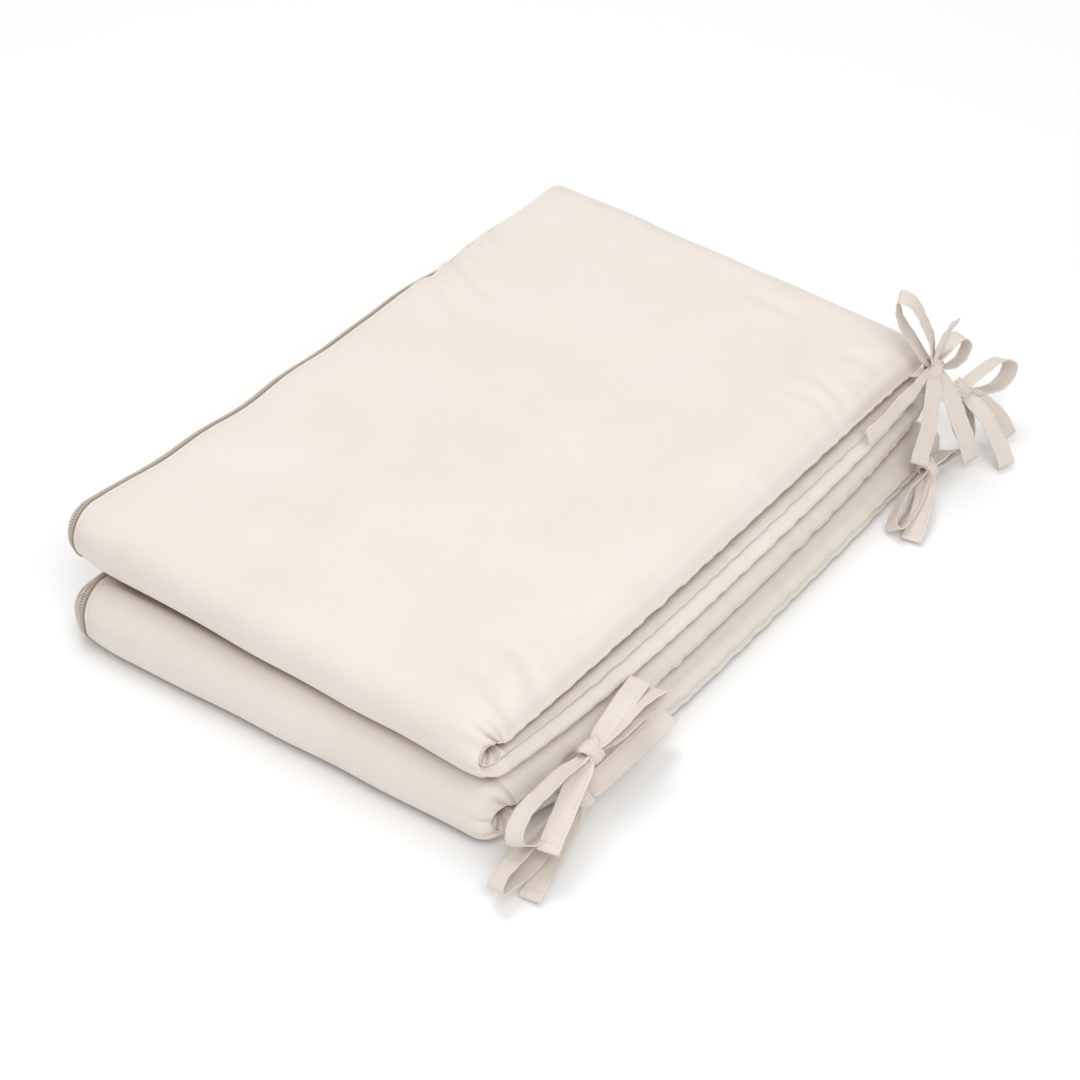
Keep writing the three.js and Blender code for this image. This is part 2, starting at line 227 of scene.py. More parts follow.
def bandMaterial(name, settings):
    material, tree, shader = startMaterial(name, settings)
    crossing, slub = weave(tree, settings)
    uv = tree.nodes.new("ShaderNodeUVMap")
    uv.uv_map = "UVMap"
    split = tree.nodes.new("ShaderNodeSeparateXYZ")
    tree.links.new(uv.outputs["UV"], split.inputs["Vector"])
    share = addNode(tree, "ShaderNodeMath")
    share.operation = "DIVIDE"
    share.inputs[1].default_value = zipper["width"] * metre
    tree.links.new(split.outputs["Y"], share.inputs[0])
    bands = ramp(tree, share.outputs["Value"], settings["bands"])
    grain = ramp(tree, crossing, [(0.0, (0.72, 0.7, 0.68)), (0.6, (1, 1, 1))])
    toned = mixColours(tree, "MULTIPLY", 0.8, bands, grain)
    tree.links.new(toned, shader.inputs["Base Color"])
    bump = addNode(tree, "ShaderNodeBump", Strength=settings["weaveDepth"], Distance=0.0004)
    tree.links.new(crossing, bump.inputs["Height"])
    tree.links.new(bump.outputs["Normal"], shader.inputs["Normal"])
    return material


def nylonMaterial(name, settings):
    material, tree, shader = startMaterial(name, settings)
    where = tree.nodes.new("ShaderNodeTexCoord")
    noise = addNode(tree, "ShaderNodeTexNoise", Scale=settings["mottle"], Detail=3.0)
    tree.links.new(where.outputs["Object"], noise.inputs["Vector"])
    toned = ramp(tree, noise.outputs["Fac"], [(0.3, settings["dark"]), (0.7, settings["light"])])
    tree.links.new(toned, shader.inputs["Base Color"])
    bump = addNode(tree, "ShaderNodeBump", Strength=0.15, Distance=0.0002)
    tree.links.new(noise.outputs["Fac"], bump.inputs["Height"])
    tree.links.new(bump.outputs["Normal"], shader.inputs["Normal"])
    return material


# the cover cloth's base colour carries painted shade in its gaps and creases
coverCotton = clothMaterial("cover_cotton", {
    "light": (0.80, 0.738, 0.676), "dark": (0.765, 0.698, 0.634), "mottle": 14, "threads": 560,
    "weaveDepth": 0.1, "slubDepth": 0.1, "roughness": 0.9, "gloss": 0.2, "sheen": 0.12, "paintedShadeReach": 0.008,
    "paintedShadeTones": [(0.1, (0.26, 0.18, 0.13)), (0.52, (0.82, 0.78, 0.74)), (0.8, (1, 1, 1))]})
tieCotton = clothMaterial("tie_cotton", {
    "light": (0.77, 0.70, 0.636), "dark": (0.72, 0.645, 0.58), "mottle": 40, "threads": 520,
    "weaveDepth": 0.25, "slubDepth": 0.2, "roughness": 0.92, "gloss": 0.2, "sheen": 0.1})
threadCotton = clothMaterial("thread_cotton", {
    "light": (0.74, 0.67, 0.6), "dark": (0.66, 0.59, 0.52), "mottle": 90, "threads": 900,
    "weaveDepth": 0.3, "slubDepth": 0.2, "roughness": 0.8, "gloss": 0.3, "sheen": 0.05})
zipCloth = bandMaterial("zip_cloth", {
    # the dark band at the inner edge (0 to 0.07) is partly the tape's own brown and partly painted shade of the
    # shadow line under the cover's lip
    "bands": [(0.0, (0.36, 0.3, 0.245)), (0.07, (0.38, 0.32, 0.265)), (0.11, (0.6, 0.53, 0.45)),
              (0.24, (0.6, 0.53, 0.45)), (0.28, (0.3, 0.24, 0.19)), (0.72, (0.3, 0.24, 0.19)),
              (0.76, (0.6, 0.53, 0.45)), (1.0, (0.66, 0.59, 0.51))],
    "threads": 330, "weaveDepth": 0.5, "roughness": 0.85, "gloss": 0.25, "sheen": 0.1})
zipNylon = nylonMaterial("zip_nylon", {
    "light": (0.74, 0.66, 0.57), "dark": (0.62, 0.54, 0.455), "mottle": 300,
    "roughness": 0.5, "gloss": 0.4, "sheen": 0.0})
print("stage: materials")


# rows along the folded strip
# both edges, the seam above the middle of the padding, roundings beside it, swelling and slant
edgeKeys = ("zipX", "tieX", "seamOut", "outerRound", "innerRound", "bulge", "skew")
turnReach = (228, -229, 226, -236, 226)
turnEdges = [
    (-149, 155, -6, 26, 20, 0, -6),
    (-158.5, 150, -6.5, 14, 20, 0, 0),
    (-143, 157, -4, 10, 14, 4, 0),
    (-144, 157, -6, 14, 20, 0, 7),
    (-137, 170, 2, 5, 26, 2, 0),
]
layerEdges = [
    (-149, 152.5, -7.5, 26, 20, 0, 0),
    (-148, 156.5, -3.5, 10, 46, 10, 0),
    (-145, 164, -5.5, 9, 20, 3, 0),
    (-141, 172.5, 2, 5, 26, 3, 0),
]
# the free ends and the folds, from the top end on
turns = [dict(zip(edgeKeys, edges), reachY=reach) for edges, reach in zip(turnEdges, turnReach)]
layers = [dict(zip(edgeKeys, edges)) for edges in layerEdges]  # middles of the layers, from the top down
folds = {
    1: {"crestOut": 5, "roll": 4, "square": 0, "lowerSwell": 8},
    2: {"crestOut": -4, "roll": 0, "square": 0, "lowerSwell": 0},
    3: {"crestOut": 5, "roll": 16, "square": 0.3, "lowerSwell": 0},
}
pitch = strip["loft"] + strip["layerGap"]
halfLoft = strip["loft"] / 2
halfSeam = strip["seam"] / 2
foldRadius = pitch / 2
foldReach = foldRadius + halfLoft
frontFolds = (1, 3)
backFold = 2


def layerHeight(index):
    return halfLoft + (len(layers) - 1 - index) * pitch


def straightEnd(index):
    reach = turns[index]["reachY"]
    if index in (0, len(turns) - 1):
        return reach
    return reach - math.copysign(foldReach, reach)


def seamRise(distance, reach):
    inset = 1 - np.minimum(distance, reach) / reach
    return (1 - inset * inset) ** strip["roundPower"]


def straightRows(index, ys):
    start, end = straightEnd(index), straightEnd(index + 1)
    share = (ys - start) / (end - start)
    before = np.maximum(0, 1 - 2 * share) ** 3
    after = np.maximum(0, 2 * share - 1) ** 3
    rows = {}
    for key, middle in layers[index].items():
        first, last = turns[index][key] - middle, turns[index + 1][key] - middle
        rows[key] = middle + first * before + last * after
    if index in folds:
        rows["bulge"] = rows["bulge"] + folds[index]["lowerSwell"] * before
    still = np.zeros_like(ys)
    upward = 1 if index % 2 == 0 else -1
    rows.update(y=ys, z=still + layerHeight(index), normalY=still, normalZ=still + upward)
    rows.update(fill=still + 1, crown=still, tilt=still + zipper["tilt"])
    rows.update(layer=still + index, turn=still - 1)
    if index == 0:
        rows["tilt"] = rows["tilt"] - zipper["endTurn"] * (1 - share)
        rows["crown"] = strip["topCrown"] * (1 - (2 * share - 1) ** 2)
    if index in (0, len(layers) - 1):
        distance = np.abs((start if index == 0 else end) - ys)
        inset = 1 - np.minimum(distance, strip["cornerRound"]) / strip["cornerRound"]
        cornerInset = strip["cornerRound"] * (1 - np.sqrt(1 - inset * inset))
        rows["fill"] = seamRise(distance, strip["endRound"])
        rows["tieX"] = rows["tieX"] - cornerInset
        rows["zipX"] = rows["zipX"] + cornerInset
    return rows


def foldRows(index, angles):
    turn = turns[index]
    side = math.copysign(1, turn["reachY"])
    outer = 1 if side < 0 else -1
    pressed = np.where(angles > math.pi / 2, folds[index]["square"] * np.sin(2 * angles) ** 2, 0)
    radius = foldRadius * (1 + pressed)
    still = np.zeros_like(angles)
    rows = {key: still + turn[key] for key in layers[0]}
    rows["seamOut"] = turn["seamOut"] + (folds[index]["crestOut"] - turn["seamOut"]) * np.sin(angles) ** 2
    rows["bulge"] = rows["bulge"] + folds[index]["lowerSwell"] * (1 - np.cos(angles)) / 2
    if index in frontFolds:
        rows["tieX"] = rows["tieX"] - strip["foldPull"] * np.sin(angles) ** 2
    rows.update(y=straightEnd(index) + side * radius * np.sin(angles))
    rows.update(z=layerHeight(index) + foldRadius + radius * np.cos(angles))
    rows.update(normalY=outer * side * np.sin(angles), normalZ=outer * np.cos(angles))
    rows.update(fill=still + 1, crown=still, tilt=zipper["tilt"] + folds[index]["roll"] * np.sin(angles))
    rows.update(layer=still - 1, turn=still + index)
    return rows


def stripRows():
    endSteps = np.array([0, 0.4, 1.0, 1.8, 2.8, 4.0, 5.6, 7.6, 10, 13, 16])
    runs = []
    for index in range(len(layers)):
        start, end = straightEnd(index), straightEnd(index + 1)
        heading = math.copysign(1, end - start)
        first = start + heading * strip["endRun"] if index == 0 else start
        last = end - heading * strip["endRun"] if index == len(layers) - 1 else end
        ys = np.linspace(first, last, int(abs(last - first) / strip["rowStep"]))
        if index == 0:
            ys = np.concatenate([start + heading * endSteps, ys])
        if index == len(layers) - 1:
            ys = np.concatenate([ys, (end - heading * endSteps)[::-1]])
        runs.append(straightRows(index, ys))
        if index < len(layers) - 1:
            runs.append(foldRows(index + 1, np.linspace(0, math.pi, strip["foldSteps"] + 1)[1:-1]))
    rows = {key: np.concatenate([run[key] for run in runs]) for key in runs[0]}
    rows["along"] = lengthAlong(np.stack([rows["y"], rows["z"]], axis=1))
    return rows


def placePoints(rows, x, out):
    column = {key: rows[key][:, None] for key in ("y", "z", "normalY", "normalZ", "skew")}
    y = column["y"] + column["normalY"] * out + column["skew"] * x / strip["skewWidth"]
    z = column["z"] + column["normalZ"] * out
    return np.stack(np.broadcast_arrays(x, y, z), axis=-1)


def seamHeight(rows):
    return (rows["seamOut"] * rows["fill"])[:, None]


def halfThickness(rows):
    return (halfSeam + (halfLoft - halfSeam) * rows["fill"])[:, None]


def zipSeat(rows):
    tilt = np.radians(rows["tilt"])[:, None]
    top = strip["lipHeight"] * halfThickness(rows)
    zipX = rows["zipX"][:, None]
    inner = (zipX + zipper["width"] * np.sin(tilt), top)
    outer = (zipX, top - zipper["width"] * np.cos(tilt) * rows["fill"][:, None])
    return inner, outer, (-np.cos(tilt), np.sin(tilt))


# the section of the cover at each row, from the tie seam over the outer panel to the zip and back underneath
def coverSection(rows):
    tieSteps = np.array([0, 0.5, 1.1, 1.8, 2.4, 3.2, 4.2, 5.4, 6.8, 8.4,
                         10.2, 12.2, 14.4, 17, 20, 23, 26.5, 30, 34, 38])
    lipSteps = np.array([29, 24, 19.5, 15.5, 12, 9, 6.8, 5.2, 4.1, 3.3, 2.6, 1.9, 1.3, 0.7, 0.2])
    seatShares = np.array([0, 0.25, 0.5, 0.75, 1])
    backAngles = np.radians(np.linspace(0, 90, 11)[1:])
    half = halfThickness(rows)
    tieX, zipX = rows["tieX"][:, None], rows["zipX"][:, None]
    seam = seamHeight(rows)
    offSeam = np.maximum(0, tieSteps[None] - strip["lip"])
    outerRise = seamRise(offSeam, rows["outerRound"][:, None] - strip["lip"])
    innerRise = seamRise(offSeam, rows["innerRound"][:, None] - strip["lip"])
    swell = rows["bulge"][:, None] * np.sin(math.pi * outerRise ** strip["swellPower"])
    tieSide = (tieX - tieSteps + swell, seam + halfSeam + (half - halfSeam - seam) * outerRise)
    tieUnder = (tieX - tieSteps, seam - halfSeam - (half - halfSeam + seam) * innerRise)
    inner, outer, _ = zipSeat(rows)
    lipX = inner[0] + lipSteps
    drop = (1 - np.minimum(lipSteps, strip["lipReach"]) / strip["lipReach"]) ** strip["lipPower"]
    lipSide = (lipX, half * (1 - (1 - strip["lipHeight"]) * drop))
    shares = np.linspace(0, 1, strip["panelColumns"] + 2)[None, 1:-1]
    middleX = tieSide[0][:, -1:] + (lipX[:, :1] - tieSide[0][:, -1:]) * shares
    middle = (middleX, half + 0 * middleX)
    seat = [inner[k] + (outer[k] - inner[k]) * seatShares for k in (0, 1)]
    backX = zipX + strip["backRound"] * (1 - np.cos(backAngles))
    back = (backX, outer[1] - (outer[1] + half) * np.sin(backAngles))
    shares = np.linspace(0, 1, strip["hiddenColumns"] + 2)[None, 1:-1]
    underX = back[0][:, -1:] + (tieSide[0][:, -1:] - back[0][:, -1:]) * shares
    under = (underX, -half + 0 * underX)
    home = (tieUnder[0][:, ::-1], tieUnder[1][:, ::-1])
    groups = [tieSide, middle, lipSide, seat, back, under, home]
    names = ["outer", "outer", "outer", "seat", "back", "inner", "inner"]
    x = np.hstack([group[0] for group in groups])
    out = np.hstack([group[1] for group in groups])
    kind = np.concatenate([[name] * group[0].shape[1] for name, group in zip(names, groups)])
    across = (x - (tieX + zipX) / 2) / ((tieX - zipX) / 2)
    out = out + np.where(kind == "outer", rows["crown"][:, None] * (1 - across**2), 0)
    stitchStep = int(np.argmin(np.abs(lipSteps - strip["stitchInset"])))
    stitchColumn = len(tieSteps) + strip["panelColumns"] + stitchStep
    return x, out, kind, inner[0], stitchColumn


def gridNormals(points):
    ahead = np.gradient(points, axis=0)
    sideways = np.roll(points, -1, axis=1) - np.roll(points, 1, axis=1)
    return unit(np.cross(sideways, ahead))


surface = {
    "hidden": 0.12, "broad": 0.42, "crease": 3.0,
    "pucker": 0.55, "puckerLeast": 0.65, "puckerSwing": 0.45, "puckerFoot": 2.2, "puckerReach": 9,
    "gather": 6.5, "gatherStep": 5.6, "gatherDrift": 0.9, "gatherMiddle": 0.64, "gatherFoot": 1.2,
    "gatherReach": 6.5, "gatherLeast": 0.75, "gatherSwing": 0.35, "gatherStretch": 0.6, "bendReach": 26,
    "ridge": 0.32, "ridgePlace": 4.5, "ridgeWidth": 1.7, "dip": 0.3, "dipPlace": 8, "dipWidth": 1.3,
    "zipPucker": 0.5, "zipFoot": 2, "zipReach": 9, "stitchDip": 0.3, "stitchWidth": 0.8,
    "seamSide": 0.35, "seamDrop": 0.4, "zipSide": 0.9, "calmReach": 40,
}
topCreases = [  # x and y of both ends
    {"start": (-150, 118), "end": (-84, 84), "width": 6.5, "depth": 1.0},
    {"start": (-148, 138), "end": (-104, 102), "width": 5.5, "depth": 0.8},
    {"start": (-150, 97), "end": (-74, 54), "width": 8.0, "depth": 0.8},
    {"start": (-148, 160), "end": (-118, 138), "width": 5.0, "depth": 0.6},
    {"start": (29, 193), "end": (80, 190), "width": 6.0, "depth": 0.5},
    {"start": (106, 120), "end": (148, 125), "width": 5.0, "depth": 0.45},
    {"start": (114, 142), "end": (150, 133), "width": 5.0, "depth": 0.4},
    {"start": (116, 172), "end": (150, 179), "width": 6.0, "depth": 0.45},
    {"start": (112, -182), "end": (147, -203), "width": 6.0, "depth": 0.9},
    {"start": (118, -160), "end": (150, -176), "width": 5.0, "depth": 0.6},
    {"start": (-60, -126), "end": (-20, -150), "width": 12.0, "depth": 0.4},
]


def creaseRelief(x, y):
    total = np.zeros_like(x)
    for crease in topCreases:
        start, end = np.array(crease["start"], float), np.array(crease["end"], float)
        span = end - start
        size = np.linalg.norm(span)
        share = ((x - start[0]) * span[0] + (y - start[1]) * span[1]) / size**2
        aside = ((x - start[0]) * -span[1] + (y - start[1]) * span[0]) / size
        reach = np.clip(1 - np.abs(2 * share - 1) ** 3, 0, 1)
        scaled = aside / crease["width"]
        total -= surface["crease"] * crease["depth"] * reach * (1 - scaled**2) * np.exp(-(scaled**2) / 2)
    return total


ripples = {
    "broad": rippleTable(10, 60, 150),
    "pucker": rippleTable(9, 7, 17),
    "tight": rippleTable(5, 14, 40),
    "zipPucker": rippleTable(8, 8, 16),
    "strength": rippleTable(5, 45, 120),
    "seamSide": rippleTable(8, 9, 30),
    "seamDrop": rippleTable(8, 10, 34),
    "zipSide": rippleTable(6, 38, 120),
}


def coverRelief(rows, x, points, kind, innerX):
    along = rows["along"][:, None]
    layer, turn = rows["layer"][:, None], rows["turn"][:, None]
    outerSide, innerSide = kind == "outer", kind == "inner"
    panel = outerSide | innerSide
    shownOuter = np.where((layer == 0) | np.isin(turn, frontFolds), 1.0, surface["hidden"])
    shownInner = np.where(turn == backFold, 1.0, surface["hidden"])
    shown = np.where(outerSide, shownOuter, np.where(innerSide, shownInner, 0))
    tieDistance = np.maximum(0, rows["tieX"][:, None] - x)
    zipDistance = np.maximum(0, x - innerX)
    bend = np.zeros_like(along)
    for index in frontFolds:
        middle = rows["along"][rows["turn"] == index].mean()
        bend = bend + hump(along, middle, surface["bendReach"])
    strength = surface["puckerLeast"] + surface["puckerSwing"] * rippleAlong(ripples["strength"], along)
    pucker = rippleAlong(ripples["pucker"], along) * surface["pucker"] * strength
    pucker = pucker * edgeBand(tieDistance, surface["puckerFoot"], surface["puckerReach"])
    drift = surface["gatherDrift"] * rippleAlong(ripples["tight"], along)
    gathers = np.abs(np.sin(math.pi * along / surface["gatherStep"] + drift)) - surface["gatherMiddle"]
    uneven = rippleAlong(ripples["pucker"], along * surface["gatherStretch"])
    gathers = gathers * (surface["gatherLeast"] + surface["gatherSwing"] * uneven)
    gathers = gathers * edgeBand(tieDistance, surface["gatherFoot"], surface["gatherReach"])
    relief = shown * surface["broad"] * rippleOver(ripples["broad"], along, x)
    relief = relief + np.where(panel, pucker + gathers * surface["gather"] * bend, 0)
    allowance = surface["ridge"] * hump(tieDistance, surface["ridgePlace"], surface["ridgeWidth"])
    allowance = allowance - surface["dip"] * hump(tieDistance, surface["dipPlace"], surface["dipWidth"])
    relief = relief + np.where(panel, allowance * (1 - np.clip(bend, 0, 1)), 0)
    zipPucker = surface["zipPucker"] * rippleAlong(ripples["zipPucker"], along)
    zipPucker = zipPucker * edgeBand(zipDistance, surface["zipFoot"], surface["zipReach"])
    stitchDip = surface["stitchDip"] * hump(zipDistance, strip["stitchInset"], surface["stitchWidth"])
    relief = relief + np.where(outerSide, zipPucker - stitchDip, 0)
    topFace = outerSide & (layer == 0)
    return relief + np.where(topFace, creaseRelief(x, points[..., 1]), 0)


def zipShown(rows):
    top = (rows["layer"] == 0) & (turns[0]["reachY"] - rows["y"] < zipper["endMargin"])
    bottom = rows["layer"] == len(layers) - 1
    low = bottom & (turns[-1]["reachY"] - rows["y"] < zipper["endMargin"])
    return ~(top | low)


rows = stripRows()
calm = rows["fill"] * np.clip(rows["along"] / surface["calmReach"], 0, 1)
waves = {key: calm * rippleAlong(ripples[key], rows["along"]) for key in ("zipSide", "seamSide", "seamDrop")}
rows["zipX"] = rows["zipX"] + surface["zipSide"] * waves["zipSide"]
seamRows = dict(rows)
seamRows["tieX"] = rows["tieX"] + surface["seamSide"] * waves["seamSide"]
seamRows["seamOut"] = rows["seamOut"] + surface["seamDrop"] * waves["seamDrop"]
sectionX, sectionOut, sectionKind, innerX, stitchColumn = coverSection(seamRows)
coverPoints = placePoints(seamRows, sectionX, sectionOut)
coverNormals = gridNormals(coverPoints)
panelColumn = int(np.argmax(sectionKind == "outer")) + strip["panelColumns"]
facing = coverNormals[:, panelColumn, 1] * rows["normalY"] + coverNormals[:, panelColumn, 2] * rows["normalZ"]
if facing.mean() < 0:
    coverNormals = -coverNormals
heights = coverRelief(seamRows, sectionX, coverPoints, sectionKind, innerX)
coverPoints = coverPoints + coverNormals * heights[..., None]
coverPoints[..., 2] = np.maximum(coverPoints[..., 2], 0)
girth = np.linalg.norm(np.roll(coverPoints, -1, axis=1) - coverPoints, axis=-1).mean(axis=0)
coverAcross = np.concatenate([[0], np.cumsum(girth)])
coverUv = np.stack(np.meshgrid(rows["along"], coverAcross, indexing="ij"), axis=-1)
cover = makePiece("cover", [gridPart(coverPoints, coverUv)], coverCotton)
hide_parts("padded_strip")
print("stage: cover", len(cover.data.polygons), "faces")


# the zip: ribbed tape, interlocked teeth and the row of stitches beside it
def zipGrid(keep):
    part = {key: value[keep] for key, value in rows.items()}
    inner, outer, lean = zipSeat(part)
    return part, inner, outer, lean


def zipPlace(grid, shares, height):
    part, inner, outer, lean = grid
    reach = np.minimum(part["along"] - part["along"][0], part["along"][-1] - part["along"])
    height = height - zipper["sink"] * (1 - np.clip(reach / zipper["sinkReach"], 0, 1)[:, None]) ** 2
    x = inner[0] + (outer[0] - inner[0]) * shares + lean[0] * height
    out = inner[1] + (outer[1] - inner[1]) * shares + lean[1] * height
    return placePoints(part, x, out)


zipKeep = zipShown(rows)
zipLine = zipGrid(zipKeep)
zipShares = np.linspace(0, 1, zipper["columns"])
ribs = zipper["ribHigh"] * np.cos(2 * math.pi * zipShares * zipper["ribs"])
edgeRound = zipper["edgeDrop"] * np.abs(2 * zipShares - 1) ** zipper["edgePower"]
tapeTop = zipper["seat"] + zipper["tape"] + ribs - edgeRound
topPoints = zipPlace(zipLine, zipShares[None], tapeTop[None])
lowPoints = zipPlace(zipLine, zipShares[None, ::-1], np.full((1, zipper["columns"]), zipper["seat"]))
tapePoints = np.concatenate([topPoints, lowPoints], axis=1)
tapeAcross = np.concatenate([zipShares, zipShares[::-1], [0]]) * zipper["width"]
zipAlong = rows["along"][zipKeep]
tapeUv = np.stack(np.meshgrid(zipAlong, tapeAcross, indexing="ij"), axis=-1)
zipTape = makePiece("zip_tape_woven", [gridPart(tapePoints, tapeUv)], zipCloth)
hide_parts("zip_tape")


def toothParts():
    spine = zipPlace(zipLine, np.array([[0.5]]), np.array([[zipper["tape"]]]))[:, 0]
    spineAlong = lengthAlong(spine)
    forward = unit(np.gradient(spine, axis=0))
    flat = np.full((1, 1), zipper["seat"] + zipper["tape"] - zipper["toothSink"])
    margin, pitchAlong = zipper["toothMargin"], zipper["toothPitch"]
    pattern = np.array([[0, 1, 3, 2], [4, 6, 7, 5], [0, 2, 6, 4], [1, 5, 7, 3], [2, 3, 7, 6], [0, 4, 5, 1]])
    parts = []
    for side, shift in ((-1, 0.0), (1, 0.5)):
        wanted = np.arange(margin + shift * pitchAlong, spineAlong[-1] - margin, pitchAlong)
        toe = 0.5 - side * zipper["toothCross"] / zipper["width"]
        heel = toe + side * zipper["toothLong"] / zipper["width"]
        corners = []
        for share, rise in ((toe, zipper["toeRise"]), (heel, zipper["heelRise"])):
            foot = zipPlace(zipLine, np.array([[share]]), flat)[:, 0]
            crest = zipPlace(zipLine, np.array([[share]]), flat + zipper["toothHigh"] * rise)[:, 0]
            for base, size in ((foot, zipper["toothFoot"]), (crest, zipper["toothTop"])):
                corners += [sample(base + forward * size * turn, spineAlong, wanted) for turn in (-0.5, 0.5)]
        points = np.stack(corners, axis=1)
        sides = pattern if side < 0 else pattern[:, ::-1]
        faces = (sides[None] + 8 * np.arange(len(wanted))[:, None, None]).reshape(-1, 4).tolist()
        parts.append({"points": points.reshape(-1, 3), "faces": faces, "uv": np.zeros((len(faces) * 4, 2))})
    return parts


zipTeeth = makePiece("zip_teeth", toothParts(), zipNylon)
zipTeeth.data.polygons.foreach_set("use_smooth", np.zeros(len(zipTeeth.data.polygons), dtype=bool))
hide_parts("zip_coil")


# short sunk threads along a line on a surface
def stitchParts(line, normals, settings, sides=5):
    along = lengthAlong(line)
    starts = np.arange(settings["stitchStep"], along[-1] - settings["stitchStep"], settings["stitchStep"])
    shares = np.array([0, 0.14, 0.5, 0.86, 1.0])
    radii = np.array([0.25, 0.9, 1.0, 0.9, 0.25]) * settings["stitchRadius"]
    lifts = np.array([-0.5, 0.1, 0.35, 0.1, -0.5]) * settings["stitchRadius"]
    tracks = starts[:, None] + shares[None] * settings["stitchLong"]
    centre = sample(line, along, tracks)
    up = unit(sample(normals, along, tracks))
    forward = unit(np.gradient(centre, axis=1))
    aside = unit(np.cross(forward, up))
    angles = np.linspace(0, 2 * math.pi, sides, endpoint=False)
    ring = centre[:, :, None] + up[:, :, None] * lifts[None, :, None, None]
    spoke = aside[:, :, None] * np.cos(angles)[:, None] + up[:, :, None] * np.sin(angles)[:, None]
    ring = ring + radii[None, :, None, None] * spoke
    uv = np.stack(np.meshgrid(shares, np.linspace(0, 1, sides + 1), indexing="ij"), axis=-1)
    return [gridPart(points, uv, turned=True) for points in ring]


stitchLine = coverPoints[zipKeep, stitchColumn]
stitchNormals = coverNormals[zipKeep, stitchColumn]
zipThreads = stitchParts(stitchLine, stitchNormals, zipper)
makePiece("zip_stitches", zipThreads, threadCotton)
print("stage: zip", len(zipTeeth.data.polygons), "tooth faces")


# the ties: tape loops, tails, roots and wrapped knots
tape = {
    "width": 12.6, "thick": 1.1, "loopSteps": 64, "tailSteps": 36, "rootSteps": 14, "columns": 13,
    "pinch": 0.5, "pinchReach": 8, "pleat": 1.1, "pleats": 2.6, "curl": 0.5, "curlMiddle": 0.4, "freeReach": 14,
    "wander": 0.5, "wanderLong": 31, "edgeRipple": 0.22, "edgeLong": 9.5, "edgeThin": 0.55, "twistStep": 3.0,
    "hemLong": 6, "hemThick": 0.5, "hemStep": 0.8, "hemGroove": 0.12, "hemGrooveWidth": 0.7, "hemStitch": 0.6,
    "tipThin": 0.35, "rootSink": 0.5, "floorLift": 0.25,
    "stitchStep": 2.9, "stitchLong": 2.0, "stitchRadius": 0.2, "stitchPlace": 0.74,
    "stitchGroove": 0.16, "grooveWidth": 0.09,
}
knotShape = {
    "steps": 48, "columns": 15, "narrow": 0.22, "pleat": 0.42, "pleats": 3.2, "pleatDrift": 1.1,
    "bulge": 0.9, "halfThick": 0.5, "girthRadius": 6, "turnRadius": 5, "toward": (0.75, -0.35, 0.6),
    "wraps": [
        {"high": 4.6, "wide": 5.6, "band": 9.5, "lean": 1.2, "phase": 0.4},
        {"high": 3.2, "wide": 4.4, "band": 13.0, "lean": -1.6, "phase": 1.9},
    ],
}
# loops go out and come back to the knot; free ends run by a point to their tip, with the width along "wide"
bows = [
    {"name": "tie_front_upper", "layer": 2, "seamY": -170, "knot": (176, -168, 43), "strips": [
        {"out": (-14, -114, 6), "back": (18, -60, -46)},
        {"out": (2, 78, 16), "back": (8, 78, -6)},
        {"via": (-3, 30, 8), "end": (-7, 56, 8), "wide": (1, 0, 0)},
        {"via": (8, -30, -4), "end": (14, -57, -20), "wide": (1, 0.3, 0)}]},
    {"name": "tie_front_lower", "layer": 3, "seamY": -180, "knot": (177, -178, 17), "strips": [
        {"out": (-4, -112, 10), "back": (8, -90, -22)},
        {"out": (8, 108, 10), "back": (0, 103, -2)},
        {"via": (8, -30, -6), "end": (14, -64, -14), "wide": (1, 0.2, 0)}]},
    {"name": "tie_top_end", "layer": 0, "seamY": 207, "knot": (165, 206, 73), "strips": [
        {"out": (-50, -28, 74), "back": (0, -8, 66)},
        {"out": (2, 36, 34), "back": (18, 36, -14)},
        {"via": (2, 4, 18), "end": (7, 10, 34), "wide": (0, 1, 0)},
        {"via": (4, -30, 0), "end": (-2, -72, -12), "wide": (0, 0.3, 1)},
        {"via": (10, -8, -14), "end": (15, -34, -48), "wide": (0.5, 1, 0)},
        {"via": (14, 4, -14), "end": (31, 8, -64), "wide": (0.3, 1, 0)}]},
    {"name": "tie_back_fold", "layer": 1, "seamY": 205, "knot": (172, 234, 41), "strips": [
        {"out": (10, 66, 26), "back": (22, 52, -28)},
        {"out": (10, -14, -44), "back": (16, 8, -46)},
        {"via": (24, 2, -8), "end": (41, -4, -38), "wide": (0.4, 1, 0)},
        {"via": (18, 16, -10), "end": (28, 23, -38), "wide": (0.4, 1, 0)}]},
    {"name": "tie_lower_end", "layer": 3, "seamY": 196, "knot": (181, 184, 14), "strips": [
        {"out": (0, -78, 2), "back": (24, -70, -20)},
        {"out": (0, 36, 4), "back": (6, 34, -8)},
        {"via": (16, -30, -4), "end": (21, -54, -11), "wide": (1, 0.2, 0)}]},
]


def bezier(controls, shares):
    points = [np.array(c, float)[None] + 0 * shares[:, None] for c in controls]
    while len(points) > 1:
        points = [a + (b - a) * shares[:, None] for a, b in zip(points, points[1:])]
    return points[0]


